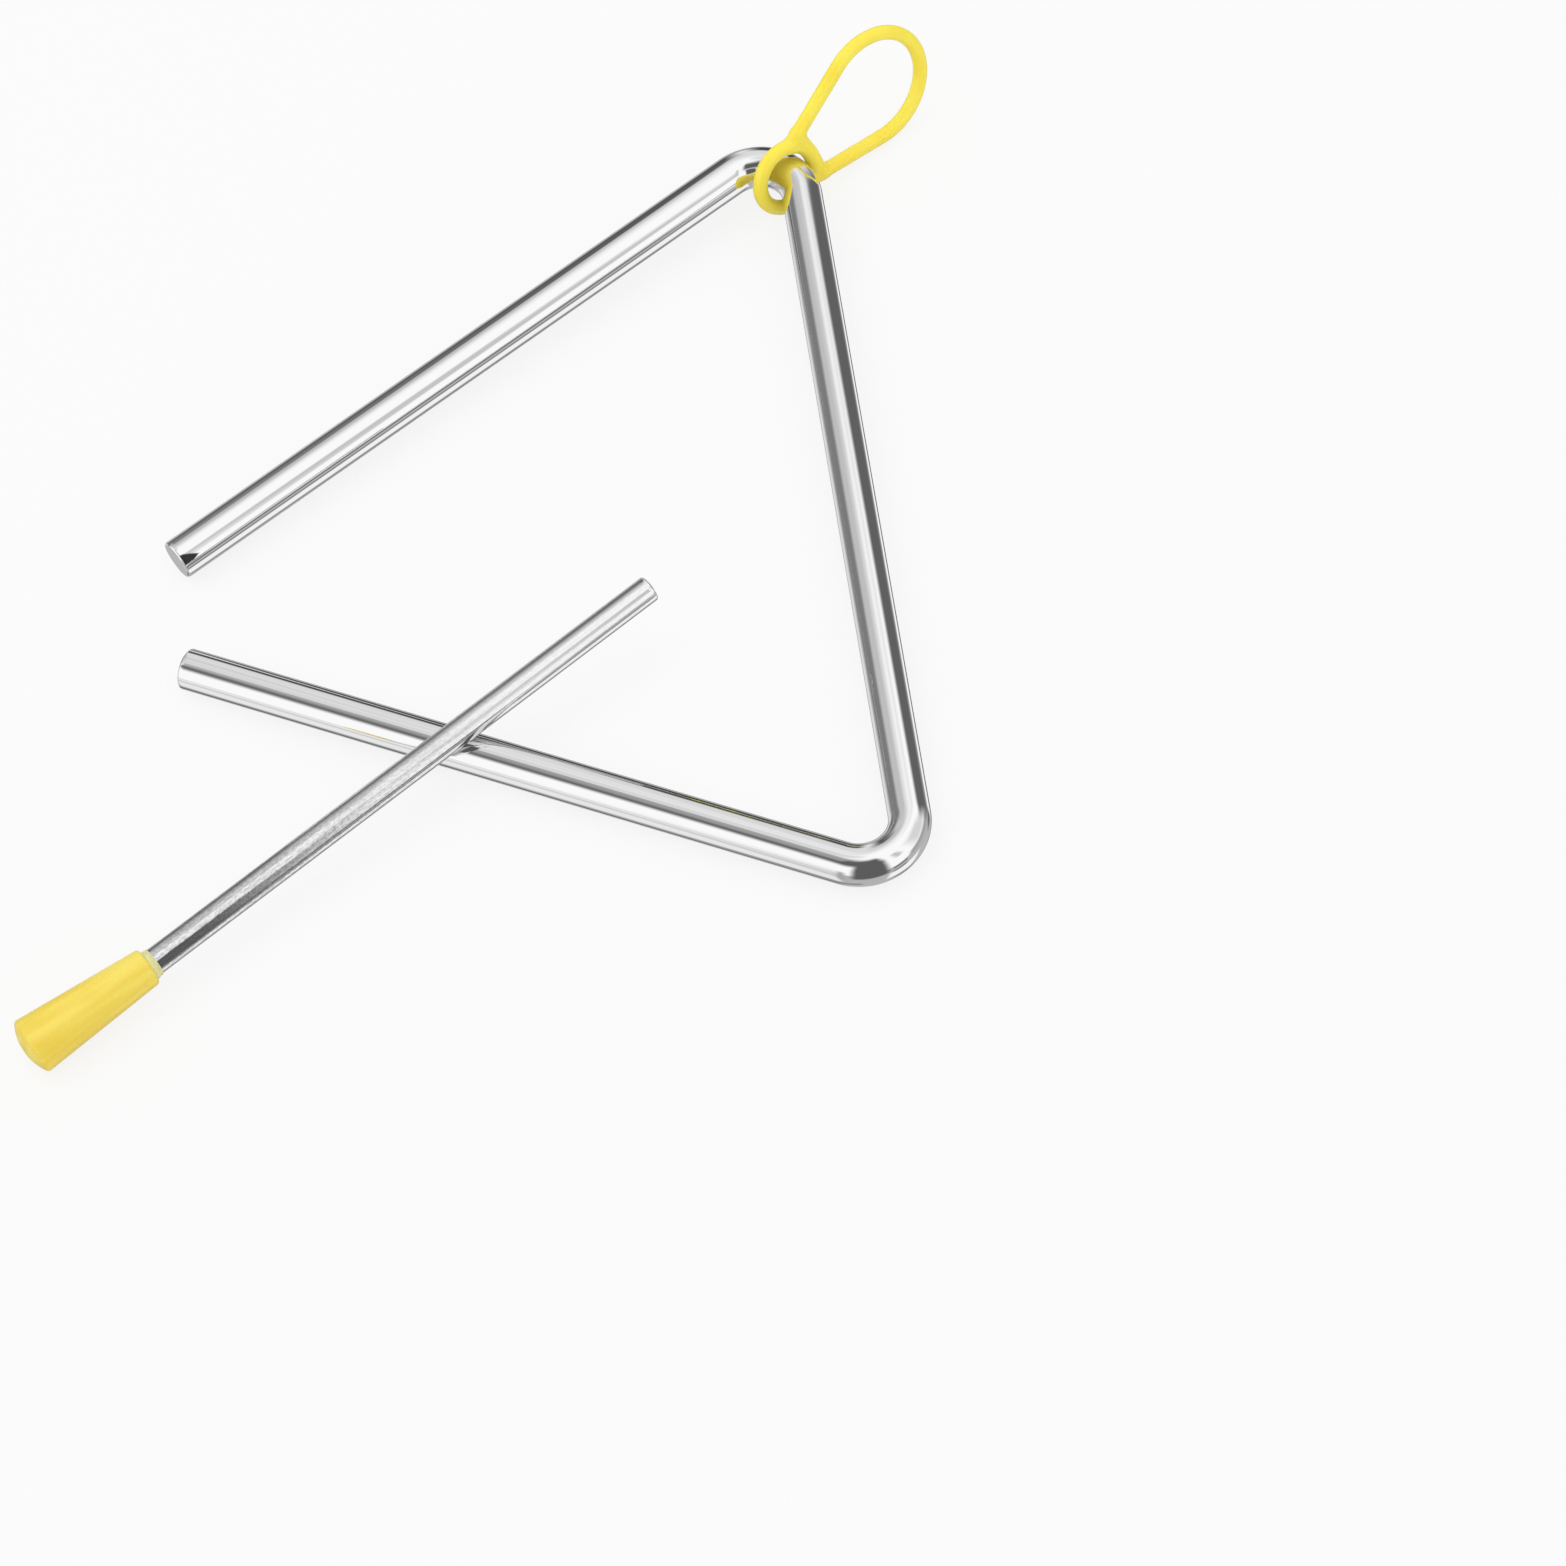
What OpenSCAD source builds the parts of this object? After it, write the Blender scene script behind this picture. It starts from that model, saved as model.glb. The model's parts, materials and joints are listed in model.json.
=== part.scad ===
// Triangle instrument with its holder and beater, as they lie on a table.
// The table is z = 0. The open bar rests on its lower arm and on the ring of the
// holder, and the beater lies across the lower arm with its grip on the table.

/* [Bar] */
// Diameter of the round steel bar
bar_d = 8; // [6:0.5:10]
// Closed side, between the two points where the bar's axes would meet
side_l = 176; // [150:1:230]
// Open corner, between the axes at the two cut ends
mouth = 25; // [16:1:40]
// Angle inside each of the two bent corners
corner = 60; // [58:0.5:62]
// Bend radius at the bar's centre line
bend_r = 9; // [8:0.5:12]
// How much thinner the bar is drawn where it is bent
bend_draw = 0.02; // [0.01:0.01:0.05]
// Chamfer round each cut end
end_chamfer = 0.6; // [0.2:0.1:1.5]

/* [Holder] */
// Play between the bar and the ring's bore, all round
ring_play = 1.1; // [1.1:0.1:2]
// Thickness of the ring's strand
ring_strand = 3; // [2.9:0.1:4]
// Thickness of the finger loop's strand
loop_strand = 2.9; // [2.8:0.05:2.95]
// Thickness of the bridge that closes the finger loop at the ring
bridge_strand = 2.8; // [2.2:0.1:2.8]
// Bore of the round end of the finger loop
loop_bore = 20.8; // [17:0.1:26]
// From the centre of the ring to the centre of the loop's round end
loop_reach = 25; // [22:0.5:34]
// Where each strand of the loop leaves the ring, round from the loop's middle line
strand_turn = 53; // [45:1:60]
// Radius in the two inner corners beside the bridge
bridge_blend = 1.2; // [0.8:0.1:1.8]
// How much thinner the moulding is in its bends than along its straight strands
strand_draw = 0.02; // [0.01:0.01:0.04]

/* [Beater] */
// Diameter of the beater's steel rod
rod_d = 5.2; // [4:0.1:6]
// Chamfer round the rod's tip
tip_chamfer = 0.4; // [0.1:0.1:0.8]
// From the tip to the small end of the grip
rod_reach = 117.9; // [100:0.1:150]
// From the grip's small end to the rim of its domed end
grip_l = 25.9; // [20:0.1:40]
// Grip diameter at its small end
grip_small_d = 7.4; // [6.6:0.1:9]
// Grip diameter at the rim of its domed end
grip_big_d = 11.2; // [9:0.1:15]
// How far the domed end bulges beyond its rim
grip_dome = 1.65; // [0.8:0.05:2.5]
// Rounding of the rim of the domed end
grip_round = 0.8; // [0.3:0.1:1.5]
// Rounding of the grip's small end
grip_shoulder = 0.7; // [0.2:0.1:0.8]
// Length of the thin lip at the mouth of the grip
lip_l = 1.4; // [0.6:0.1:3]
// Wall of the lip where it leaves the grip
lip_wall = 0.35; // [0.2:0.05:0.45]
// Wall of the lip at its thin edge
lip_edge = 0.12; // [0.05:0.01:0.2]
// Depth of the blind bore that holds the rod
bore_depth = 18; // [12:0.5:19]
// How much larger the rod is than the bore that it is pressed into
press_fit = 0.05; // [0:0.01:0.1]
// Angle at which the grip's outside stands to its bore, off true as it was moulded
grip_skew = 3; // [0:0.5:4]

/* [Placing] */
// Where the ring sits on the bend, round from the closed side
ring_at = 37; // [32:1:42]
// How far the ring's centre lies inside the bar's centre line
ring_inset = 0.65; // [0.5:0.05:0.7]
// Room between the bar and the ring strand that it lies on
seat_gap = 0.6; // [0.5:0.05:1]
// Heading of the finger loop, from the perpendicular of the closed side
loop_heading = 33; // [30:1:36]
// Lean of the holder from upright
loop_lean = 13.5; // [12:0.5:15]
// Where the beater crosses the lower arm, from its corner point
cross_reach = 92.2; // [80:0.1:110]
// How far the beater's tip lies beyond the crossing
tip_reach = 45.4; // [30:0.1:60]
// Angle between the lower arm and the beater
cross_turn = 60.6; // [50:0.1:75]
// Gap between the lower arm and the beater's rod above it
cross_gap = 0.3; // [0.2:0.05:0.6]

/* [Hidden] */
$fn = 96;
overrun = 1;
// Turn by which each bend runs on into the straight stretch beside it
lap = 0.5;
// Steps in the rounding of an edge
arc_steps = 8;
bar_r = bar_d / 2;
rod_r = rod_d / 2;
arm_l = (side_l - mouth) / (2 * cos(corner));
bend_run = bend_r / tan(corner / 2);
bend_centre = [-bend_r, side_l / 2 - bend_run, 0];
low_corner = [0, -side_l / 2, 0];
arm_line = [-sin(corner), cos(corner), 0];
arm_cross = [cos(corner), sin(corner), 0];

// Holder in its own plane, with the ring's centre as origin and the loop along +X
ring_r = bar_r + ring_play + ring_strand / 2;
loop_r = (loop_bore + loop_strand) / 2;
strand_root = ring_r * [cos(strand_turn), sin(strand_turn)];
root_to_loop = [loop_reach, 0] - strand_root;
strand_l = sqrt(root_to_loop * root_to_loop - loop_r * loop_r);
spread = asin(loop_r / norm(root_to_loop)) + atan2(root_to_loop.y, root_to_loop.x);
bridge_half = strand_root.y + (ring_r - strand_root.x) * tan(spread);
blend_r = bridge_blend + bridge_strand / 2;
blend_run = blend_r / tan((90 + spread) / 2);

// The bar is turned about its lower arm until its top corner clears the ring's strand
ring_flat = bend_centre + (bend_r - ring_inset) * [cos(ring_at), sin(ring_at), 0];
bar_tilt = asin((ring_strand + seat_gap) / ((ring_flat - low_corner) * arm_cross));

// The holder stands on its edge: its ring and its loop both touch the table
ring_across = ((ring_flat - low_corner) * arm_cross) * cos(bar_tilt);
ring_along = (ring_flat - low_corner) * arm_line;
ring_plan = low_corner + ring_across * arm_cross + ring_along * arm_line;
ring_centre = [ring_plan.x, ring_plan.y, ring_r * cos(loop_lean) + ring_strand / 2];
loop_pitch = asin((loop_r - ring_r - (ring_strand - loop_strand) / 2 / cos(loop_lean)) / loop_reach);

// Beater: its grip's lowest edge is on the table, and its rod lies over the lower arm
cross_h = bar_d + cross_gap + rod_r;
grip_cone = atan((grip_big_d - grip_small_d) / 2 / grip_l);
dome_r = (grip_big_d * grip_big_d / 4 + grip_dome * grip_dome) / (2 * grip_dome);
dome_z = grip_l + grip_dome - dome_r;
// Centre of the rim's rounding, which is tangent to the taper and to the dome
round_line = grip_radius(dome_z) * cos(grip_cone) - grip_round;
round_z = dome_z - round_line * sin(grip_cone)
    + sqrt(pow(dome_r - grip_round, 2) - round_line * round_line) * cos(grip_cone);
round_x = grip_radius(round_z) - grip_round / cos(grip_cone);
dome_turn = atan2(round_z - dome_z, round_x);
foot_run = rod_reach - tip_reach + round_z * cos(grip_skew);
beater_slope = asin((cross_h - grip_round) / norm([foot_run, round_x])) - atan2(round_x, foot_run);
beater_heading = 90 + corner + cross_turn;
cross_plan = low_corner + cross_reach * arm_line;

// Middle of the whole set in plan, from the loop's far end and the grip's far end
loop_u = holder_way(1, 0);
loop_v = holder_way(0, 1);
grip_heading = beater_heading - grip_skew;
grip_way = [cos(beater_slope) * cos(grip_heading), cos(beater_slope) * sin(grip_heading)];
grip_plan = [cross_plan.x, cross_plan.y]
    + (rod_reach - tip_reach) * cos(beater_slope) * [cos(beater_heading), sin(beater_heading)];
mid = [for (i = [0, 1]) (loop_end(i) + grip_end(i)) / 2];

function grip_radius(z) = grip_small_d / 2 + z * (grip_big_d - grip_small_d) / 2 / grip_l;
function arc(c, r, from, to, first = 0) = [
    for (i = [first:arc_steps])
        let (a = from + (to - from) * i / arc_steps) c + r * [cos(a), sin(a)]
];
function turned(p, a) = [p.x * cos(a) - p.y * sin(a), p.x * sin(a) + p.y * cos(a)];
function holder_flat_way(u, v) = let (p = turned([u, v], loop_pitch)) [p.x, p.y * sin(loop_lean)];
function holder_way(u, v) = turned(holder_flat_way(u, v), loop_heading);
function loop_end(i) = ring_plan[i] + loop_reach * loop_u[i]
    + loop_r * norm([loop_u[i], loop_v[i]]) + loop_strand / 2;
function grip_end(i) = let (off_axis = acos(-grip_way[i])) grip_plan[i] + (off_axis < 90 - dome_turn
    ? dome_z * grip_way[i] - dome_r
    : round_z * grip_way[i] - round_x * sin(off_axis) - grip_round);

// Bent tube of a round section, which laps into the straight stretches at its ends
module bend(r, d, turn) {
    rotate([0, 0, -lap])
        rotate_extrude(angle = turn + 2 * lap)
            translate([r, 0])
                circle(d = d);
}

// One bend and its open arm, down to the chamfered end
module bar_arm() {
    straight_l = arm_l - bend_run - end_chamfer;
    translate(bend_centre) {
        bend(bend_r, bar_d - bend_draw, 180 - corner);
        rotate([0, 0, 180 - corner])
            translate([bend_r, 0, 0])
                rotate([-90, 0, 0]) {
                    cylinder(d = bar_d, h = straight_l);
                    translate([0, 0, straight_l])
                        cylinder(d1 = bar_d, d2 = bar_d - 2 * end_chamfer, h = end_chamfer);
                }
    }
}

// Bar, flat: the closed side with an arm at each end
module flat_bar() {
    translate([0, bend_run - side_l / 2, 0])
        rotate([-90, 0, 0])
            cylinder(d = bar_d, h = side_l - 2 * bend_run);
    for (m = [0, 1])
        mirror([0, m, 0])
            bar_arm();
}

// One straight strand of the finger loop and its rounded corner at the bridge
module loop_side() {
    translate(strand_root)
        rotate([0, 0, spread])
            rotate([0, 90, 0])
                cylinder(d = loop_strand, h = strand_l);
    translate([ring_r + blend_r, bridge_half - blend_run])
        rotate([0, 0, 90 + spread])
            bend(blend_r, bridge_strand - strand_draw, 90 - spread);
}

// Holder, flat: the ring, the bridge beside it and the finger loop
module flat_holder() {
    rotate_extrude()
        translate([ring_r, 0])
            circle(d = ring_strand);
    translate([loop_reach, 0])
        rotate([0, 0, -90 - spread])
            bend(loop_r, loop_strand - strand_draw, 180 + 2 * spread);
    translate([ring_r, -bridge_half, 0])
        rotate([-90, 0, 0])
            cylinder(d = bridge_strand, h = 2 * bridge_half);
    for (m = [0, 1])
        mirror([0, m, 0])
            loop_side();
}

// Half section of the grip: a taper with a domed end and both of its edges rounded
module grip_section() {
    shoulder_x = grip_radius(grip_shoulder) - grip_shoulder / cos(grip_cone);
    polygon(concat(
        [[0, 0]],
        arc([shoulder_x, grip_shoulder], grip_shoulder, -90, -grip_cone),
        arc([round_x, round_z], grip_round, -grip_cone, dome_turn),
        arc([0, dome_z], dome_r, dome_turn, 90, 1)
    ));
}

// Puts what is drawn from the tip along +Z where the beater lies
module laid_beater() {
    translate([cross_plan.x, cross_plan.y, cross_h])
        rotate([0, 0, beater_heading])
            rotate([0, 90 + beater_slope, 0])
                translate([0, 0, -tip_reach])
                    children();
}

// Brings the middle of the set to the origin
module centred() {
    translate([-mid.x, -mid.y, 0])
        children();
}

module triangle_bar() {
    color("gainsboro")
        centred()
            translate([0, 0, bar_r])
                translate(low_corner)
                    rotate(a = bar_tilt, v = -arm_line)
                        translate(-low_corner)
                            flat_bar();
}

module holder() {
    color([0.96, 0.88, 0.25])
        centred()
            translate(ring_centre)
                rotate([0, 0, loop_heading])
                    rotate([90 - loop_lean, 0, 0])
                        rotate([0, 0, loop_pitch])
                            flat_holder();
}

module beater_rod() {
    color("silver")
        centred()
            laid_beater() {
                cylinder(d1 = rod_d - 2 * tip_chamfer, d2 = rod_d, h = tip_chamfer);
                translate([0, 0, tip_chamfer])
                    cylinder(d = rod_d, h = rod_reach + bore_depth - tip_chamfer);
            }
}

module beater_grip() {
    color([0.94, 0.83, 0.28])
        centred()
            laid_beater()
                translate([0, 0, rod_reach])
                    difference() {
                        union() {
                            rotate([grip_skew, 0, 0])
                                rotate_extrude()
                                    grip_section();
                            translate([0, 0, -lip_l])
                                cylinder(r1 = rod_r + lip_edge, r2 = rod_r + lip_wall, h = lip_l);
                            cylinder(r = rod_r + lip_wall, h = lip_l);
                        }
                        translate([0, 0, -lip_l - overrun])
                            cylinder(d = rod_d - press_fit, h = bore_depth + lip_l + overrun);
                    }
}

triangle_bar();
holder();
beater_rod();
beater_grip();
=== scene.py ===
import json
import math
import bmesh
import bpy
from mathutils import Matrix, Vector


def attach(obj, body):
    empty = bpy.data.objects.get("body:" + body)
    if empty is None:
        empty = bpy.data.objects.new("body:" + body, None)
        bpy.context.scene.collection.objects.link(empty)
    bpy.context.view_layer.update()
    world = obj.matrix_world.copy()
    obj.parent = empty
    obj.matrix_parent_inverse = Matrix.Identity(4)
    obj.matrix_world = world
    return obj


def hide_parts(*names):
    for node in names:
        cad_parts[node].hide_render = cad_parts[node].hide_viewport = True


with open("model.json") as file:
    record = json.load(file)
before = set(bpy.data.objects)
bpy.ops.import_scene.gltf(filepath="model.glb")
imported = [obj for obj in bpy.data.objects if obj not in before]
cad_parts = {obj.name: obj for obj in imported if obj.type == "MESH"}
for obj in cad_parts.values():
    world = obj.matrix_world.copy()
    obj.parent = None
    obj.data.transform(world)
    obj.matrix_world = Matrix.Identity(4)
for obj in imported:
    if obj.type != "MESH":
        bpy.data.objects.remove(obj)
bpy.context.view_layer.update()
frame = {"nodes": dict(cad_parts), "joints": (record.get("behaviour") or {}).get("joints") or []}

print("stage: frame loaded,", len(frame["nodes"]), "nodes")

mm = 0.001  # lengths and places in the settings are in millimetres, and angles in degrees

barSpec = {
    "diameter": 8.0,
    "side": 176.0,  # closed side, between the points where the axes would meet
    "mouth": 25.0,  # open corner, between the axes at the cut ends
    "corner": 60.0,
    "bendRadius": 9.0,
    "chamfer": 0.3,
    "edgeRadius": 0.1,  # rounding of the chamfer's two edges
    "edgeSteps": 3,
    "edgeFrom": 25.0,  # an edge that turns by more than this is rounded
    "settle": 0.8,  # short straight run beside each bend that keeps the shading true
    "sidesAround": 128,
    "stepsPerBend": 72,
}
holderSpec = {
    "ringPlay": 1.1,
    "ringStrand": 3.0,
    "loopStrand": 2.9,
    "bridgeStrand": 2.8,
    "loopBore": 20.8,
    "loopReach": 25.0,  # middle of the ring to the middle of the loop's round end
    "strandTurn": 53.0,  # where a strand of the loop meets the ring, from their common axis
    "blend": 1.3,  # how softly the strands flow into the ring
    "ringAt": 37.0,  # where the ring sits round the bend
    "ringInset": 0.65,  # how far its centre lies inside the bar's bent axis
    "seatGap": 0.6,  # between the ring's strand and the bar that leans on it
    "heading": 33.0,
    "lean": 13.5,  # off upright
    "voxel": 0.17,
    "margin": 0.6,  # room round the moulding in its volume
}
rodSpec = {
    "diameter": 5.2,
    "reach": 117.9,  # tip to the grip's small end
    "tipChamfer": 0.2,
    "tipEdge": 0.08,  # rounding of the chamfer's two edges
    "tipEase": 0.4,  # how far the chamfer is drawn in, as a share of that rounding
    "settle": 1.0,  # short run beside each end that keeps the shading true
}
gripSpec = {
    "length": 25.9,  # small end to the rim of the domed end
    "small": 7.4,
    "big": 11.2,
    "dome": 1.65,  # its rise
    "rim": 0.8,  # rounding round the dome
    "shoulder": 0.7,  # rounding round the small end
    "skew": 3.0,  # turn off the rod's line
    "boreDepth": 18.0,
}
lipSpec = {
    "length": 1.4,
    "wall": 0.35,  # at the grip's small end
    "edge": 0.12,  # across the round rim that it thins down to
}
beaterSpec = {
    "crossReach": 92.2,  # along the lower arm, from its corner to where the rod crosses
    "tipReach": 45.4,  # rod's tip to the same crossing
    "crossTurn": 60.6,
    "crossGap": 0.3,
    "arcSteps": 12,
    "sidesAround": 112,
    "sharpFrom": 32.0,  # an edge that turns by more than this stays sharp
}


def sind(a):
    return math.sin(math.radians(a))


def cosd(a):
    return math.cos(math.radians(a))


def tand(a):
    return math.tan(math.radians(a))


# Where the pieces lie: the bar leans on the ring, the ring and the loop stand on the table

barRadius = barSpec["diameter"] / 2
bendRun = barSpec["bendRadius"] / tand(barSpec["corner"] / 2)
armLength = (barSpec["side"] - barSpec["mouth"]) / (2 * cosd(barSpec["corner"]))
lowCorner = Vector((0, -barSpec["side"] / 2, 0))
topCorner = -lowCorner
armUpper = Vector((-sind(barSpec["corner"]), -cosd(barSpec["corner"]), 0))
upperEnd = topCorner + armLength * armUpper
armLine = Vector((-sind(barSpec["corner"]), cosd(barSpec["corner"]), 0))
armCross = Vector((cosd(barSpec["corner"]), sind(barSpec["corner"]), 0))
bendCentre = Vector((-barSpec["bendRadius"], barSpec["side"] / 2 - bendRun, 0))

ringRadius = barRadius + holderSpec["ringPlay"] + holderSpec["ringStrand"] / 2
loopRadius = (holderSpec["loopBore"] + holderSpec["loopStrand"]) / 2
ringWay = Vector((cosd(holderSpec["ringAt"]), sind(holderSpec["ringAt"]), 0))
ringFlat = bendCentre + (barSpec["bendRadius"] - holderSpec["ringInset"]) * ringWay
ringAcross = (ringFlat - lowCorner).dot(armCross)
ringAlong = (ringFlat - lowCorner).dot(armLine)
tilt = math.asin((holderSpec["ringStrand"] + holderSpec["seatGap"]) / ringAcross)
ringPlan = lowCorner + ringAcross * math.cos(tilt) * armCross + ringAlong * armLine
thinner = (holderSpec["ringStrand"] - holderSpec["loopStrand"]) / 2 / cosd(holderSpec["lean"])
pitch = math.asin((loopRadius - ringRadius - thinner) / holderSpec["loopReach"])

ringCentre = Vector(frame["joints"][0]["pos_m"]) / mm  # the holder turns about its own ring
shift = Matrix.Translation((ringCentre.x - ringPlan.x, ringCentre.y - ringPlan.y, 0))
toMetres = Matrix.Scale(mm, 4)


def barPlace():
    turn = Matrix.Rotation(tilt, 4, -armLine)
    up = Matrix.Translation((0, 0, barRadius))
    return toMetres @ shift @ up @ Matrix.Translation(lowCorner) @ turn @ Matrix.Translation(-lowCorner)


def holderPlace():
    heading = Matrix.Rotation(math.radians(holderSpec["heading"]), 4, "Z")
    stand = Matrix.Rotation(math.radians(90 - holderSpec["lean"]), 4, "X")
    return toMetres @ Matrix.Translation(ringCentre) @ heading @ stand @ Matrix.Rotation(pitch, 4, "Z")


def gripRadius(z):
    return (gripSpec["small"] + z * (gripSpec["big"] - gripSpec["small"]) / gripSpec["length"]) / 2


def gripShape():  # the taper, the dome on its big end and the rounding that touches both
    spec = gripSpec
    cone = math.atan((spec["big"] - spec["small"]) / 2 / spec["length"])
    domeRadius = (spec["big"] ** 2 / 4 + spec["dome"] ** 2) / (2 * spec["dome"])
    domeZ = spec["length"] + spec["dome"] - domeRadius
    line = gripRadius(domeZ) * math.cos(cone) - spec["rim"]
    reach = math.sqrt((domeRadius - spec["rim"]) ** 2 - line ** 2)
    roundZ = domeZ - line * math.sin(cone) + reach * math.cos(cone)
    roundX = gripRadius(roundZ) - spec["rim"] / math.cos(cone)
    return math.degrees(cone), domeRadius, domeZ, roundX, roundZ


def beaterPlace():  # the rod lies on the lower arm, and the grip's rim on the table
    spec = beaterSpec
    height = barSpec["diameter"] + spec["crossGap"] + rodSpec["diameter"] / 2
    footX, footZ = gripShape()[3:]
    run = rodSpec["reach"] - spec["tipReach"] + footZ * cosd(gripSpec["skew"])
    slope = math.asin((height - gripSpec["rim"]) / math.hypot(run, footX)) - math.atan2(footX, run)
    spot = lowCorner + spec["crossReach"] * armLine + Vector((0, 0, height))
    heading = math.radians(90 + barSpec["corner"] + spec["crossTurn"])
    turn = Matrix.Rotation(heading, 4, "Z") @ Matrix.Rotation(math.pi / 2 + slope, 4, "Y")
    back = Matrix.Translation((0, 0, -spec["tipReach"]))
    return toMetres @ shift @ Matrix.Translation(spot) @ turn @ back


# Node trees: a wire is a socket that takes part in Python sums

class Wire:
    def __init__(self, graph, socket):
        self.graph = graph
        self.socket = socket

    def work(self, operation, *others):
        return self.graph.node("ShaderNodeMath", {"operation": operation}, dict(enumerate((self,) + others)))

    def __add__(self, other):
        return self.work("ADD", other)

    def __radd__(self, other):
        return self.work("ADD", other)

    def __sub__(self, other):
        return self.work("SUBTRACT", other)

    def __rsub__(self, other):
        return self.graph.node("ShaderNodeMath", {"operation": "SUBTRACT"}, {0: other, 1: self})

    def __mul__(self, other):
        return self.work("MULTIPLY", other)

    def __rmul__(self, other):
        return self.work("MULTIPLY", other)

    def __truediv__(self, other):
        return self.work("DIVIDE", other)

    def __rtruediv__(self, other):
        return self.graph.node("ShaderNodeMath", {"operation": "DIVIDE"}, {0: other, 1: self})

    def __neg__(self):
        return self.work("MULTIPLY", -1.0)

    def __gt__(self, other):
        return self.work("GREATER_THAN", other)

    def __abs__(self):
        return self.work("ABSOLUTE")

    def most(self, other):
        return self.work("MAXIMUM", other)

    def softLeast(self, other, reach):
        return self.work("SMOOTH_MIN", other, reach)

    def hypot(self, other):
        return (self * self + other * other).work("SQRT")

    def ease(self, low, high, start=0.0, end=1.0):
        return self.graph.node("ShaderNodeMapRange", {"interpolation_type": "SMOOTHSTEP"},
                               {0: self, 1: low, 2: high, 3: start, 4: end})


class Graph:
    def __init__(self, tree):
        self.tree = tree
        tree.nodes.clear()

    def node(self, kind, settings=None, inputs=None, output=0):  # an output of None gives them all
        item = self.tree.nodes.new(kind)
        for key, value in (settings or {}).items():
            setattr(item, key, value)
        for key, value in (inputs or {}).items():
            if isinstance(value, Wire):
                self.tree.links.new(value.socket, item.inputs[key])
            else:
                item.inputs[key].default_value = value
        if output is None:
            return [Wire(self, out) for out in item.outputs]
        return Wire(self, item.outputs[output]) if len(item.outputs) else item

    def parts(self, vector):
        return self.node("ShaderNodeSeparateXYZ", {}, {0: vector}, None)

    def dot(self, vector, way):
        return self.node("ShaderNodeVectorMath", {"operation": "DOT_PRODUCT"}, {0: vector, 1: way}, "Value")

    def blend(self, factor, first, second):  # mixes two colours; 6 and 7 are the colour sockets
        return self.node("ShaderNodeMix", {"data_type": "RGBA"}, {0: factor, 6: first, 7: second}, 2)

    def shaderBlend(self, factor, first, second):
        return self.node("ShaderNodeMixShader", {}, {0: factor, 1: first, 2: second})

    def noise(self, vector, scale, detail, roughness):
        return self.node("ShaderNodeTexNoise", {}, {
            "Vector": vector, "Scale": scale, "Detail": detail, "Roughness": roughness})

    def bump(self, pattern, strength, height):
        return self.node("ShaderNodeBump", {}, {
            "Strength": strength, "Distance": height * mm, "Height": pattern})

    def drawnOut(self, vector, draw):  # below 1, a pattern grows longer along the piece's own Z axis
        return self.node("ShaderNodeMapping", {}, {"Vector": vector, "Scale": (1, 1, draw)})

    def own(self):  # the piece's own coordinates, in millimetres, from before it was put in its place
        return self.node("ShaderNodeAttribute", {"attribute_name": "own"}, {}, "Vector")

    def rays(self):
        return [self.node("ShaderNodeLightPath", {}, {}, name) for name in (
            "Is Camera Ray", "Is Glossy Ray", "Is Transmission Ray")]

    def surface(self, values):
        shader = self.node("ShaderNodeBsdfPrincipled", {}, values)
        self.node("ShaderNodeOutputMaterial", {}, {"Surface": shader})


def newMaterial(name):
    material = bpy.data.materials.new(name)
    material.use_nodes = True
    return material, Graph(material.node_tree)


# Finishes. A noise is its scale, detail and roughness, a span is where a pattern sets in and where
# it is full, and a bump is its strength and its height.

chromeLook = {
    "colour": (0.88, 0.88, 0.89, 1),
    "roughness": 0.03,
    "haze": 0.04,  # extra roughness where the plate is least polished
    "hazeNoise": (0.16, 4.0, 0.6),
    "hazeSpan": (0.5, 0.8),
    "buffNoise": (0.9, 2.0, 0.6),
    "buffBump": (0.25, 0.0008),
    "darkWedge": (0.05, 0.05, 0.05, 1),  # a near-black wedge on the plate, from the upper arm's rim inwards
    "darkWedgeRoughness": 0.3,
    "darkWedgeTurn": -43.0,  # round the bar, from its top to the wedge's middle at the rim
    "darkWedgeSlant": 0.17,
    "darkWedgeWide": 1.15,  # half its width at the rim
    "darkWedgeLong": 3.8,
    "darkWedgeRag": 0.4,  # how far its sides waver, from end to end
    "darkWedgeNoise": (1.6, 2.0, 0.5),
    "darkWedgeSpan": (-0.15, 0.2),
    "darkWedgeFade": 0.1,  # half the width of its fade beside the chamfer
}


def chromeFinish():
    look = chromeLook
    material, graph = newMaterial("chromePlate")
    place = graph.own()
    height = graph.parts(place)[2]
    inwards = -armUpper
    sideways = armUpper.cross(Vector((0, 0, 1)))
    along, aside = [graph.dot(place, way) - way.dot(upperEnd) for way in (inwards, sideways)]
    # a near-black, rougher wedge on the plate, from the upper arm's rim inwards
    turned = (aside.work("ARCTAN2", height) - math.radians(look["darkWedgeTurn"])) * barRadius
    share = along / look["darkWedgeLong"]
    half = look["darkWedgeWide"] * (1.0 - share * share)
    ragged = look["darkWedgeRag"] * (graph.noise(place, *look["darkWedgeNoise"]) - 0.5)  # a noise wavers round 0.5
    darkWedge = (half - abs(turned + along * look["darkWedgeSlant"]) + ragged).ease(*look["darkWedgeSpan"])
    darkWedge = darkWedge * along.ease(barSpec["chamfer"] - look["darkWedgeFade"], barSpec["chamfer"] + look["darkWedgeFade"])
    haze = look["haze"] * graph.noise(place, *look["hazeNoise"]).ease(*look["hazeSpan"])
    buff = graph.noise(place, *look["buffNoise"])
    graph.surface({"Base Color": graph.blend(darkWedge, look["colour"], look["darkWedge"]), "Metallic": 1.0,
                   "Roughness": look["roughness"] + haze + look["darkWedgeRoughness"] * darkWedge,
                   "Normal": graph.bump(buff, *look["buffBump"])})
    return material


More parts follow.
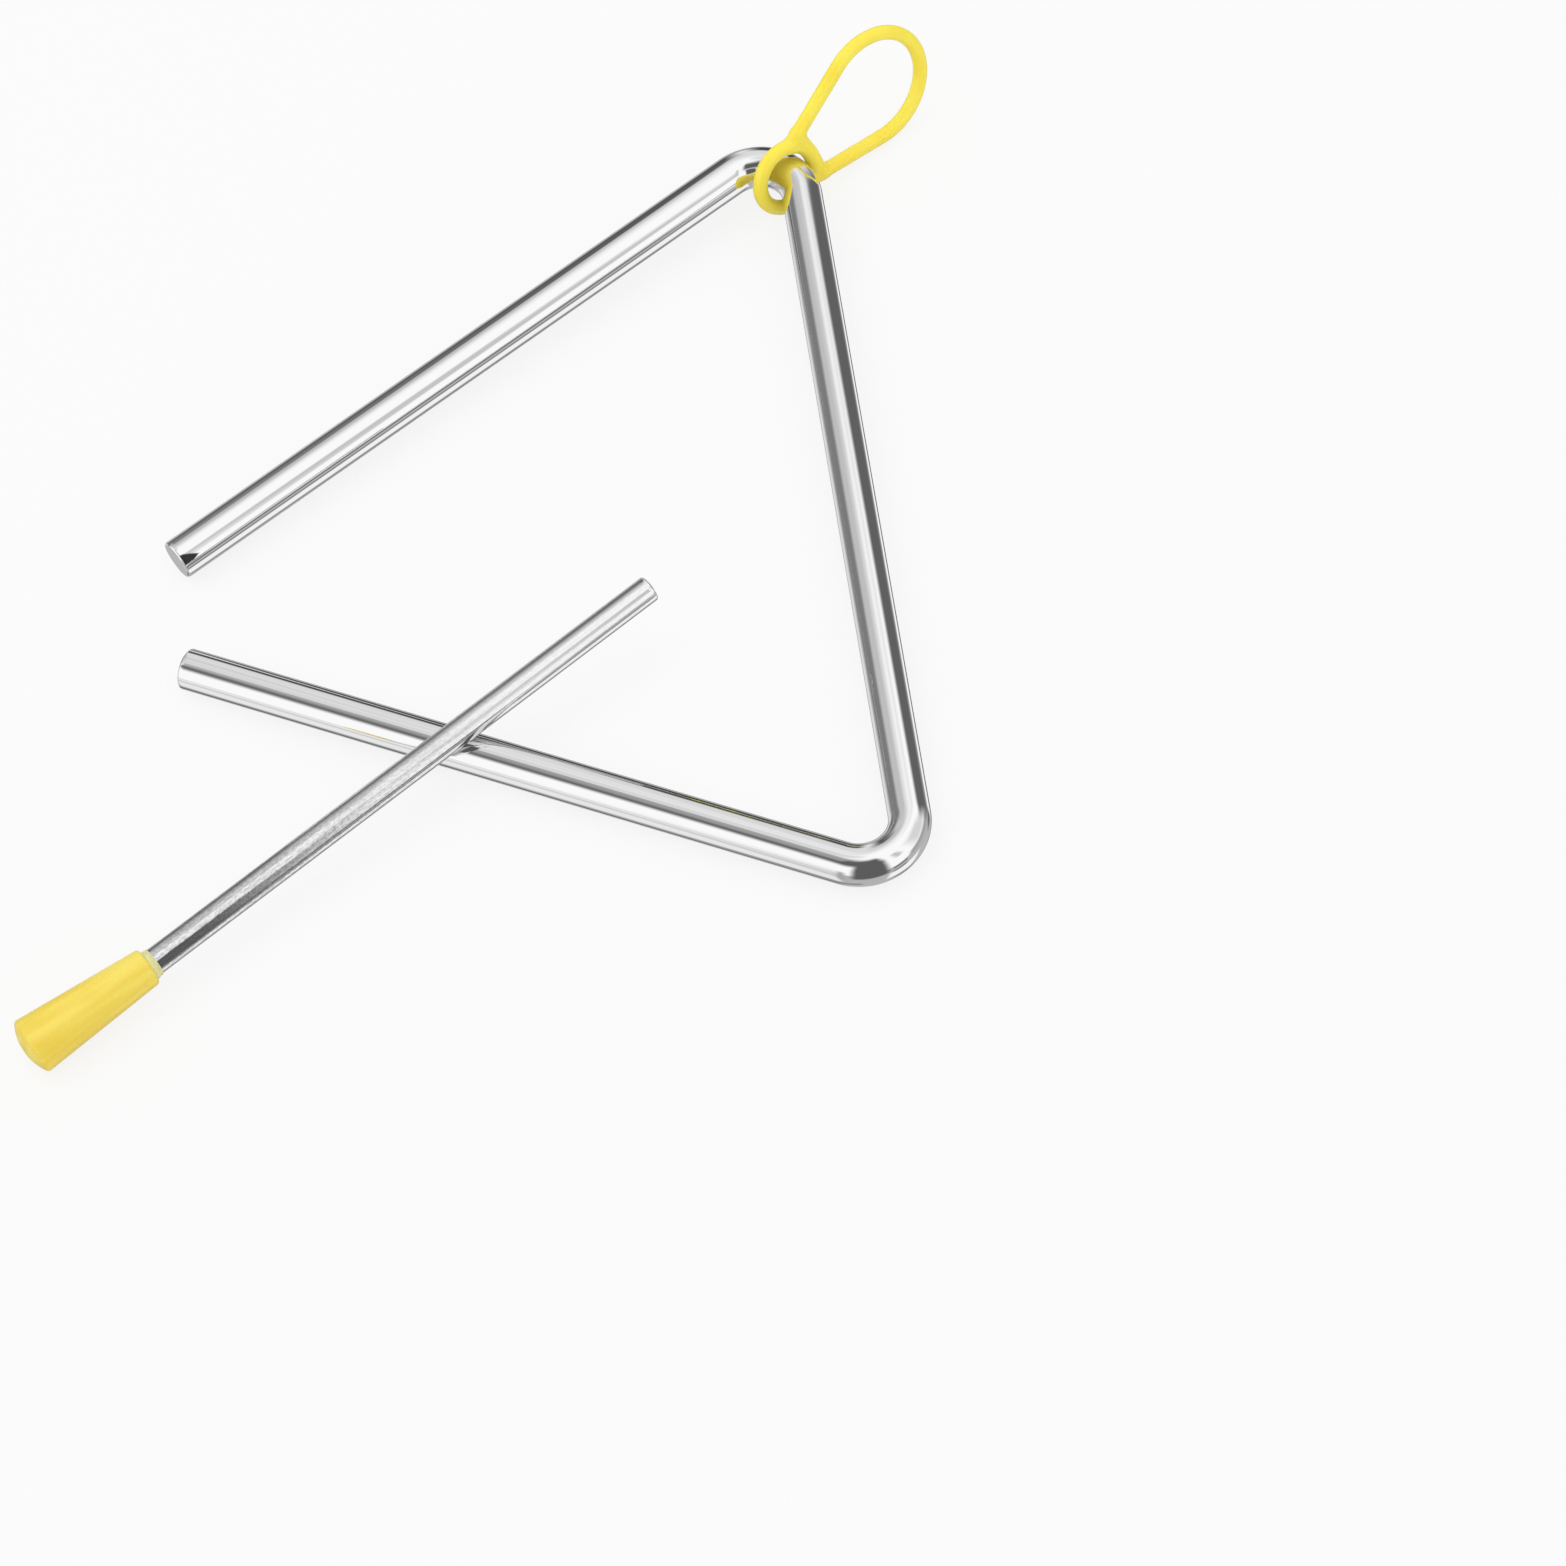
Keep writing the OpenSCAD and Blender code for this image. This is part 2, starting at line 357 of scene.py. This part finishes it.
steelLook = {
    "light": (0.87, 0.87, 0.87, 1),
    "dark": (0.50, 0.50, 0.51, 1),
    "roughness": 0.07,
    "speckleNoise": (2.4, 2.0, 0.7),
    "speckleDraw": 0.5,
    "speckleSpan": (0.35, 0.65),
    "speckleShare": 0.55,  # of the grain's darkness; the streaks make the rest
    "speckleRoughness": 0.08,
    "speckleDull": (0.4, 0.65),  # the span over which the speckle turns dull
    "streakNoise": (2.0, 3.0, 0.6),
    "streakDraw": 0.035,
    "streakSpan": (0.35, 0.7),
    "grainBump": (0.4, 0.024),
    "grainSpan": (15.0, 85.0),  # the grain comes up along the rod, this far from its tip
    "grainLeast": 0.25,  # and this much of it is there from the start
}


def steelFinish():
    look = steelLook
    material, graph = newMaterial("satinSteel")
    place = graph.own()
    speckle = graph.noise(graph.drawnOut(place, look["speckleDraw"]), *look["speckleNoise"])
    streak = graph.noise(graph.drawnOut(place, look["streakDraw"]), *look["streakNoise"])
    least = look["grainLeast"]
    grown = least + (1 - least) * graph.parts(place)[2].ease(*look["grainSpan"])
    share = look["speckleShare"]
    grain = speckle.ease(*look["speckleSpan"]) * share + streak.ease(*look["streakSpan"]) * (1 - share)
    dull = look["speckleRoughness"] * grown * speckle.ease(*look["speckleDull"])
    graph.surface({"Base Color": graph.blend(grain * grown, look["light"], look["dark"]), "Metallic": 1.0,
                   "Roughness": look["roughness"] + dull,
                   "Normal": graph.bump(speckle * grown, *look["grainBump"])})
    return material


def plasticSurface(graph, look, shade, skin):
    graph.surface({"Base Color": shade, "Roughness": look["roughness"] + look["skinRoughness"] * skin,
                   "Subsurface Weight": look["softness"], "Subsurface Radius": look["scatter"],
                   "Subsurface Scale": look["depth"] * mm, "IOR": look["ior"],
                   "Normal": graph.bump(skin, *look["skinBump"])})


holderLook = {
    "light": (0.925, 0.800, 0.095, 1),
    "deep": (0.905, 0.740, 0.060, 1),
    "ring": (0.930, 0.770, 0.070, 1),  # the even tone that both run into at the ring
    "cloudNoise": (0.12, 2.0, 0.5),
    "cloudSpan": (0.3, 0.7),
    "roughness": 0.22,
    "softness": 0.5,
    "scatter": (1.0, 0.75, 0.25),  # how far red, green and blue light spread, as shares of the depth
    "depth": 2.0,
    "ior": 1.49,
    "skinNoise": (0.9, 2.0, 0.5),
    "skinRoughness": 0.06,
    "skinBump": (0.35, 0.001),
}


def holderFinish():
    look = holderLook
    material, graph = newMaterial("lemonPlastic")
    place = graph.own()
    x, y = graph.parts(place)[:2]
    cloud = graph.noise(place, *look["cloudNoise"]).ease(*look["cloudSpan"])
    atRing = x.hypot(y).ease(ringRadius + holderSpec["ringStrand"], ringRadius)
    shade = graph.blend(atRing, graph.blend(cloud, look["light"], look["deep"]), look["ring"])
    plasticSurface(graph, look, shade, graph.noise(place, *look["skinNoise"]))
    return material


gripLook = {
    "light": (0.890, 0.725, 0.125, 1),
    "deep": (0.820, 0.610, 0.060, 1),
    "streakNoise": (0.4, 1.5, 0.5),
    "streakDraw": 0.12,
    "streakSpan": (0.3, 0.75),
    "roughness": 0.24,
    "softness": 0.2,
    "scatter": (1.0, 0.75, 0.25),
    "depth": 1.2,
    "ior": 1.49,
    "skinNoise": (1.0, 2.0, 0.5),
    "skinRoughness": 0.06,
    "skinBump": (0.35, 0.002),
}


def gripFinish():
    look = gripLook
    material, graph = newMaterial("ochrePlastic")
    place = graph.own()
    streak = graph.noise(graph.drawnOut(place, look["streakDraw"]), *look["streakNoise"])
    shade = graph.blend(streak.ease(*look["streakSpan"]), look["light"], look["deep"])
    plasticSurface(graph, look, shade, graph.noise(place, *look["skinNoise"]))
    return material


lipLook = {
    "light": (0.82, 0.78, 0.38, 1),
    "deep": (0.82, 0.73, 0.27, 1),
    "roughness": 0.28,
    "softness": 0.6,
    "scatter": (1.0, 0.9, 0.5),
    "depth": 1.0,
    "ior": 1.49,
    "skinNoise": (1.8, 2.0, 0.5),
    "skinSpan": (0.3, 0.8),
    "skinRoughness": 0.05,
    "skinBump": (0.3, 0.01),
}


def lipFinish():
    look = lipLook
    material, graph = newMaterial("paleLip")
    skin = graph.noise(graph.own(), *look["skinNoise"])
    shade = graph.blend(skin.ease(*look["skinSpan"]), look["light"], look["deep"])
    plasticSurface(graph, look, shade, skin)
    return material


# Building pieces

def linked(name, data):
    item = bpy.data.objects.new(name, data)
    bpy.context.scene.collection.objects.link(item)
    return item


def grow(piece, tree, values):  # hangs a geometry tree on a piece and sets its named inputs
    modifier = piece.modifiers.new("grow", "NODES")
    modifier.node_group = tree
    for item in tree.interface.items_tree:
        if item.item_type == "SOCKET" and item.in_out == "INPUT" and item.name in values:
            modifier[item.identifier] = values[item.name]
    return piece


def bake(piece, place):  # keeps what the modifiers made as a plain mesh, put in its place
    bpy.context.view_layer.update()
    depsgraph = bpy.context.evaluated_depsgraph_get()
    mesh = bpy.data.meshes.new_from_object(piece.evaluated_get(depsgraph))
    piece.modifiers.clear()
    mesh.transform(place)
    piece.data = mesh
    return piece


def treeWith(name, sockets):
    tree = bpy.data.node_groups.new(name, "GeometryNodeTree")
    graph = Graph(tree)
    tree.interface.new_socket(name="Geometry", in_out="INPUT", socket_type="NodeSocketGeometry")
    for label, kind in sockets:
        tree.interface.new_socket(name=label, in_out="INPUT", socket_type=kind)
    tree.interface.new_socket(name="Geometry", in_out="OUTPUT", socket_type="NodeSocketGeometry")
    wires = {wire.socket.name: wire for wire in graph.node("NodeGroupInput", output=None)}
    return tree, graph, wires


def finishTree(graph, geometry, material):
    place = graph.node("GeometryNodeInputPosition")
    onPoints = {"data_type": "FLOAT_VECTOR", "domain": "POINT"}
    marked = graph.node("GeometryNodeStoreNamedAttribute", onPoints, {
        "Geometry": geometry, "Name": "own", "Value": place})
    smooth = graph.node("GeometryNodeSetShadeSmooth", {}, {"Geometry": marked})
    real = graph.node("GeometryNodeRealizeInstances", {}, {"Geometry": smooth})
    dressed = graph.node("GeometryNodeSetMaterial", {}, {"Geometry": real, "Material": material})
    graph.node("NodeGroupOutput", {}, {"Geometry": dressed})


def barTree(material):
    tree, graph, inputs = treeWith("bentBar", [
        ("Bar Radius", "NodeSocketFloat"), ("Bend Radius", "NodeSocketFloat"),
        ("Sides", "NodeSocketInt"), ("Bend Steps", "NodeSocketInt")])
    corner, taper = [graph.node("GeometryNodeInputNamedAttribute", {"data_type": "FLOAT"}, {"Name": name})
                     for name in ("corner", "taper")]
    path = graph.node("GeometryNodeMeshToCurve", {}, {0: inputs["Geometry"]})
    bent = graph.node("GeometryNodeFilletCurve", {"mode": "POLY"}, {
        "Curve": path, "Count": inputs["Bend Steps"], "Radius": inputs["Bend Radius"] * corner})
    section = graph.node("GeometryNodeCurvePrimitiveCircle", {"mode": "RADIUS"}, {
        "Resolution": inputs["Sides"], "Radius": inputs["Bar Radius"]})
    swept = graph.node("GeometryNodeCurveToMesh", {}, {
        "Curve": bent, "Profile Curve": section, "Scale": taper, "Fill Caps": True})
    finishTree(graph, swept, material)
    return tree


def makeBar(material):
    spec = barSpec
    stops = (0, spec["chamfer"], spec["chamfer"] + spec["settle"], armLength - bendRun - spec["settle"])
    points = [upperEnd - d * armUpper for d in stops]
    points += [topCorner, topCorner - Vector((0, bendRun + spec["settle"], 0))]
    corner = [float(p == topCorner) for p in points]
    taper = [1 - spec["chamfer"] / barRadius] + [1.0] * (len(points) - 1)
    points += [Vector((p.x, -p.y, 0)) for p in reversed(points)]
    mesh = bpy.data.meshes.new("barPath")
    mesh.from_pydata(points, [(i, i + 1) for i in range(len(points) - 1)], [])
    for name, half in (("corner", corner), ("taper", taper)):
        mesh.attributes.new(name, "FLOAT", "POINT").data.foreach_set("value", half + half[::-1])
    piece = grow(linked("triangleBar", mesh), barTree(material), {
        "Bar Radius": barRadius, "Bend Radius": spec["bendRadius"],
        "Sides": spec["sidesAround"], "Bend Steps": spec["stepsPerBend"]})
    edge = piece.modifiers.new("edge", "BEVEL")
    edge.width = spec["edgeRadius"]
    edge.segments = spec["edgeSteps"]
    edge.limit_method = "ANGLE"
    edge.angle_limit = math.radians(spec["edgeFrom"])
    return bake(piece, barPlace())


def holderTree(material):  # how far a point lies from the moulding's skin decides what is solid
    tree, graph, inputs = treeWith("mouldedHolder", [(label, "NodeSocketFloat") for label in (
        "Ring Radius", "Ring Strand", "Loop Radius", "Loop Strand", "Loop Reach", "Bridge Strand",
        "Bridge Half", "Strand Length", "Spread", "Blend")])
    x, y, z = graph.parts(graph.node("GeometryNodeInputPosition"))
    y = abs(y)
    spread = inputs["Spread"]
    outX = -spread.work("SINE")  # outward at the spot where a strand runs off the round end
    outY = spread.work("COSINE")
    loopX = x - inputs["Loop Reach"]
    down = y * outX - loopX * outY  # how far along the strand, from the round end to the ring
    across = loopX * outX + y * outY - inputs["Loop Radius"]
    strand = across.hypot((down - inputs["Strand Length"]).most(0.0))
    roundEnd = abs(loopX.hypot(y) - inputs["Loop Radius"])
    onStrand = down > 0.0
    plan = strand * onStrand + roundEnd * (1.0 - onStrand)
    loop = plan.hypot(z) - inputs["Loop Strand"] / 2
    ring = (x.hypot(y) - inputs["Ring Radius"]).hypot(z) - inputs["Ring Strand"] / 2
    beyond = (y - inputs["Bridge Half"]).most(0.0)
    bridge = (x - inputs["Ring Radius"]).hypot(beyond).hypot(z) - inputs["Bridge Strand"] / 2
    whole = ring.softLeast(loop, inputs["Blend"]).softLeast(bridge, inputs["Blend"])
    spec = holderSpec
    reach = ringRadius + spec["ringStrand"] + spec["margin"]
    far = spec["loopReach"] + loopRadius + spec["loopStrand"] + spec["margin"]
    wide = loopRadius + spec["loopStrand"] + spec["margin"]
    thick = spec["ringStrand"] / 2 + spec["margin"]
    counts = [round(size / spec["voxel"]) for size in (reach + far, 2 * wide, 2 * thick)]
    atSkin = 1.0  # the density at the skin; it is higher inside
    cloud = graph.node("GeometryNodeVolumeCube", {}, {
        "Density": atSkin - whole, "Background": 0.0,
        "Min": (-reach, -wide, -thick), "Max": (far, wide, thick),
        "Resolution X": counts[0], "Resolution Y": counts[1], "Resolution Z": counts[2]})
    skin = graph.node("GeometryNodeVolumeToMesh", {"resolution_mode": "GRID"}, {
        "Volume": cloud, "Threshold": atSkin, "Adaptivity": 0.0})
    finishTree(graph, skin, material)
    return tree


def makeHolder(material):
    spec = holderSpec
    rootX = ringRadius * cosd(spec["strandTurn"])
    rootY = ringRadius * sind(spec["strandTurn"])
    farX = spec["loopReach"] - rootX
    far = math.hypot(farX, rootY)
    strandLength = math.sqrt(far * far - loopRadius * loopRadius)
    spread = math.asin(loopRadius / far) - math.atan2(rootY, farX)
    bridgeHalf = rootY + (ringRadius - rootX) * math.tan(spread)
    piece = grow(linked("holderMoulding", bpy.data.meshes.new("holderSeed")), holderTree(material), {
        "Ring Radius": ringRadius, "Ring Strand": spec["ringStrand"], "Loop Radius": loopRadius,
        "Loop Strand": spec["loopStrand"], "Loop Reach": spec["loopReach"],
        "Bridge Strand": spec["bridgeStrand"], "Bridge Half": bridgeHalf,
        "Strand Length": strandLength, "Spread": spread, "Blend": spec["blend"]})
    bake(piece, holderPlace())
    print("stage: holder has", len(piece.data.polygons), "faces")
    return piece


def ringPoints(centre, radius, lean, sides):
    turn = Matrix.Rotation(lean, 3, "X")
    angles = [2 * math.pi * i / sides for i in range(sides)]
    return [centre + turn @ Vector((radius * math.cos(a), radius * math.sin(a), 0)) for a in angles]


def lathe(name, rings, place, material):  # a ring is its centre, its radius and the lean of its axis
    sides = beaterSpec["sidesAround"]
    mesh = bpy.data.meshes.new(name)
    work = bmesh.new()
    rows = []
    for centre, radius, lean in rings:
        spots = ringPoints(centre, radius, lean, sides) if radius else [centre]
        rows.append([work.verts.new(spot) for spot in spots])
    for low, high in zip(rows, rows[1:]):
        for i in range(sides):
            j = (i + 1) % sides
            corners = [low[i % len(low)], low[j % len(low)], high[j % len(high)], high[i % len(high)]]
            work.faces.new(list(dict.fromkeys(corners)))
    bmesh.ops.recalc_face_normals(work, faces=work.faces)
    work.to_mesh(mesh)
    work.free()
    own = mesh.attributes.new("own", "FLOAT_VECTOR", "POINT")
    own.data.foreach_set("vector", [value for vertex in mesh.vertices for value in vertex.co])
    mesh.transform(place)
    mesh.shade_smooth()
    mesh.set_sharp_from_angle(angle=math.radians(beaterSpec["sharpFrom"]))
    mesh.materials.append(material)
    return linked(name, mesh)


def arcPoints(centre, radius, start, end):
    steps = beaterSpec["arcSteps"]
    turns = [start + (end - start) * i / steps for i in range(steps + 1)]
    return [(centre[0] + radius * cosd(turn), centre[1] + radius * sind(turn)) for turn in turns]


def makeRod(material):
    spec = rodSpec
    radius = spec["diameter"] / 2
    chamfer = spec["tipChamfer"]
    edge = spec["tipEdge"]
    ease = edge * spec["tipEase"]
    end = spec["reach"] + gripSpec["boreDepth"]
    outline = [(0, 0), (radius - chamfer - edge, 0), (radius - chamfer, ease), (radius - ease, chamfer)]
    outline += [(radius, chamfer + edge), (radius, chamfer + spec["settle"])]
    outline += [(radius, end - spec["settle"]), (radius, end), (0, end)]
    rings = [(Vector((0, 0, z)), r, 0.0) for r, z in outline]
    return lathe("beaterRod", rings, beaterPlace(), material)


def makeGrip(material):
    spec = gripSpec
    cone, domeRadius, domeZ, roundX, roundZ = gripShape()
    shoulder = spec["shoulder"]
    domeTurn = math.degrees(math.atan2(roundZ - domeZ, roundX))
    outline = arcPoints((gripRadius(shoulder) - shoulder / cosd(cone), shoulder), shoulder, -90, -cone)
    outline += arcPoints((roundX, roundZ), spec["rim"], -cone, domeTurn)
    outline += arcPoints((0, domeZ), domeRadius, domeTurn, 90)[1:-1] + [(0, domeZ + domeRadius)]
    lean = math.radians(spec["skew"])
    turn = Matrix.Rotation(lean, 3, "X")
    bore = rodSpec["diameter"] / 2
    floor = Vector((0, 0, spec["boreDepth"]))
    rings = [(floor, 0, 0.0), (floor, bore, 0.0), (Vector((0, 0, 0)), bore, lean)]
    rings += [(turn @ Vector((0, 0, z)), r, lean) for r, z in outline]
    place = beaterPlace() @ Matrix.Translation((0, 0, rodSpec["reach"]))
    return lathe("beaterGrip", rings, place, material)


def makeLip(material):
    spec = lipSpec
    bore = rodSpec["diameter"] / 2
    wall = spec["wall"]
    edge = spec["edge"] / 2
    foot = edge - spec["length"]
    outline = [(bore, wall), (bore, foot)] + arcPoints((bore + edge, foot), edge, 180, 360)[1:]
    outline += [(bore + wall, 0), (bore + wall, wall), (bore, wall)]
    rings = [(Vector((0, 0, z)), r, 0.0) for r, z in outline]
    place = beaterPlace() @ Matrix.Translation((0, 0, rodSpec["reach"]))
    return lathe("gripLip", rings, place, material)


print("stage: making the pieces")
bar = makeBar(chromeFinish())
holder = makeHolder(holderFinish())
rod = makeRod(steelFinish())
grip = makeGrip(gripFinish())
lip = makeLip(lipFinish())

for piece, body, node, slot in ((bar, "triangle", "triangle_bar", "chromed_bar"),
                                (holder, "holder", "holder", "holder_plastic"),
                                (rod, "beater", "beater_rod", "beater_steel"),
                                (grip, "beater", "beater_grip", "grip_plastic")):
    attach(piece, body)
    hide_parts(node)
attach(lip, "beater")

# The studio: a bright tent round a white table. Its panels draw the lines in the chrome, whose
# reflections see through the table to the panels below it.

studio = {
    "white": 0.973,  # table and backdrop, as the camera sees them
    "tent": 1.08,  # what the chrome sees between the panels
    "softLow": 0.82,  # the plain light on the pieces, from straight below to straight above
    "softHigh": 1.06,
}
panels = [  # azimuth from +X towards +Y, elevation, half width, half height, soft edge, brightness
    (0, -50, 180, 48, 4, 0.50),  # the pale sheet under the table
    (175, -66, 25, 10, 8, 0.17),
    (120, -72, 28, 8, 8, 0.80),
    (-125, 64, 60, 16, 9, 0.12),  # gap in the tent above the camera
    (180, 70, 28, 8, 8, 0.38),
    (125, 72, 25, 8, 8, 0.76),
    (-145, -26, 12, 24, 5, 0.90),  # left soft box, which shines in under the table too
    (-141, -17, 12, 4, 4, 0.66),
    (-129, -10, 5, 22, 6, 0.42),
    (-130, -61, 24, 6, 4, 0.24),
    (2, 33, 20, 22, 12, 0.74),
    (-4, -2, 27, 9, 5, 0.40),  # front right, low down
    (-38, -47, 26, 16, 4, 1.0),
    (10, -45, 20, 12, 10, 0.52),
    (-48, -9.5, 11, 2.4, 1.5, 0.03),
    (-48, -27, 11, 5, 3, 0.26),
    (-42, 46, 6, 14, 5, 0.62),
    (84, 40, 30, 26, 12, 0.84),  # behind
    (75, 57, 12, 7, 8, 1.0),
    (78, 26, 12, 18, 8, 0.76),
    (106, 43, 10, 12, 8, 0.58),
    (24, -28, 9, 8, 6, 0.15),  # back right
    (44, -34, 10, 7, 4, 1.05),
    (77, -2, 13, 20, 5, 0.07),
    (106, 13, 9, 23, 6, 0.09),
    (113, -22, 5, 6, 4, 1.0),
    (134, 38, 22, 26, 12, 0.58),  # back left
    (142, 8, 14, 23, 8, 0.22),
    (122, 0, 12, 22, 8, 0.18),
    (136, -36, 16, 11, 5, 0.78),
    (104, -40, 12, 10, 6, 0.62),
    (10, -73, 45, 4, 3, 0.26),  # dark under the pieces, which draws their outlines
    (80, -53, 29, 12, 4, 0.09),
]


def makeWorld():
    world = bpy.data.worlds.new("studio")
    bpy.context.scene.world = world
    world.use_nodes = True
    graph = Graph(world.node_tree)
    x, y, z = graph.parts(graph.node("ShaderNodeTexCoord", {}, {}, "Generated"))
    azimuth = y.work("ARCTAN2", x).work("DEGREES")
    elevation = z.work("ARCSINE").work("DEGREES")
    halfTurn = 180.0
    shade = studio["tent"]
    for aim, height, halfWidth, halfHeight, edge, value in panels:
        aside = (azimuth - aim).work("PINGPONG", halfTurn)
        within = aside.ease(halfWidth + edge, halfWidth - edge)
        within = within * abs(elevation - height).ease(halfHeight + edge, halfHeight - edge)
        shade = shade + within * (value - shade)
    plain = z.ease(-1.0, 1.0, studio["softLow"], studio["softHigh"])
    soft, tent, white = [graph.node("ShaderNodeBackground", {}, {"Color": (1, 1, 1, 1), "Strength": level})
                         for level in (plain, shade, studio["white"])]
    camera, glossy, through = graph.rays()
    light = graph.shaderBlend(glossy, soft, tent)
    seen = graph.shaderBlend(camera.most(through), light, white)
    graph.node("ShaderNodeOutputWorld", {}, {"Surface": seen})


def flatSheet(name, corners, material):
    mesh = bpy.data.meshes.new(name)
    mesh.from_pydata(corners, [], [(0, 1, 2, 3)])
    mesh.materials.append(material)
    return linked(name, mesh)


cards = {  # dark sides of the studio, near enough to shift along the bars; only reflections see them
    "front": {"place": (64, -380), "heading": -90, "halfWidth": 140, "low": -130, "high": 490,
              "edge": 40, "brightness": 0.12},
    "backRight": {"place": (298, 154), "heading": 40, "halfWidth": 142, "low": -100, "high": 225,
                  "edge": 65, "brightness": 0.13},
}


def makeCard(name, spec):
    material, graph = newMaterial(name)
    x, z = graph.parts(graph.node("ShaderNodeTexCoord", {}, {}, "Object"))[::2]
    half, low, high, edge = [spec[key] * mm for key in ("halfWidth", "low", "high", "edge")]
    within = abs(x).ease(half + edge, half - edge)
    within = within * z.ease(low - edge, low + edge) * z.ease(high + edge, high - edge)
    clear = graph.node("ShaderNodeBsdfTransparent")
    dark = graph.node("ShaderNodeEmission", {}, {"Strength": spec["brightness"]})
    mixed = graph.shaderBlend(within, clear, dark)
    graph.node("ShaderNodeOutputMaterial", {}, {"Surface": mixed})
    side, foot, top = half + edge, low - edge, high + edge
    item = flatSheet(name, [(-side, 0, foot), (side, 0, foot), (side, 0, top), (-side, 0, top)], material)
    item.location = (spec["place"][0] * mm, spec["place"][1] * mm, 0)
    item.rotation_euler.z = math.radians(spec["heading"] + 90)
    item.visible_camera = False
    item.visible_diffuse = False
    item.visible_shadow = False


tableSpec = {
    "size": 6000.0,
    "pale": 0.86,
    "shadowShare": 0.15,  # how much of the table's own shading the camera sees
}


def makeTable():
    material, graph = newMaterial("whiteTable")
    pale = tableSpec["pale"]
    matt = graph.node("ShaderNodeBsdfDiffuse", {}, {"Color": (pale, pale, pale, 1)})
    bright = graph.node("ShaderNodeEmission", {}, {"Strength": studio["white"]})
    clear = graph.node("ShaderNodeBsdfTransparent")
    camera, glossy, through = graph.rays()
    seen = graph.shaderBlend(camera.most(through) * (1 - tableSpec["shadowShare"]), matt, bright)
    mixed = graph.shaderBlend(glossy, seen, clear)
    graph.node("ShaderNodeOutputMaterial", {}, {"Surface": mixed})
    half = tableSpec["size"] / 2 * mm
    corners = [(-half, -half, 0), (half, -half, 0), (half, half, 0), (-half, half, 0)]
    flatSheet("table", corners, material)


keySpec = {
    "place": (-350, 250, 1100),
    "size": 700.0,
    "power": 1.2,
}


def makeKey():
    lamp = bpy.data.lights.new("key", "AREA")
    lamp.shape = "DISK"
    lamp.size = keySpec["size"] * mm
    lamp.energy = keySpec["power"]
    place = Vector([value * mm for value in keySpec["place"]])
    item = linked("key", lamp)
    item.location = place
    item.rotation_euler = (-place).to_track_quat("-Z", "Y").to_euler()
    item.visible_glossy = False


cameraSpec = {  # it stands where the photograph was taken from
    "place": (-3.64, -618.05, 868.30),  # from the middle of the closed side
    "aim": (-22.16, -58.19, 0.0),
    "roll": -11.284,
    "lens": 127.67,
    "sensor": 36.0,
    "clipStart": 10.0,
}


def makeCamera():
    data = bpy.data.cameras.new("camera")
    data.sensor_width = cameraSpec["sensor"]
    data.lens = cameraSpec["lens"]
    data.clip_start = cameraSpec["clipStart"] * mm
    item = linked("camera", data)
    place, aim = [toMetres @ shift @ Vector(cameraSpec[name]) for name in ("place", "aim")]
    forward = (aim - place).normalized()
    right = forward.cross(Vector((0, 0, 1))).normalized()
    up = right.cross(forward)
    roll = cameraSpec["roll"]
    rolledRight = right * cosd(roll) + up * sind(roll)
    rolledUp = up * cosd(roll) - right * sind(roll)
    axes = Matrix((rolledRight, rolledUp, -forward)).transposed().to_4x4()
    item.matrix_world = Matrix.Translation(place) @ axes
    bpy.context.scene.camera = item


print("stage: lighting")
makeWorld()
for name, spec in cards.items():
    makeCard(name, spec)
makeTable()
makeKey()
makeCamera()
bpy.context.scene.view_settings.view_transform = "Standard"
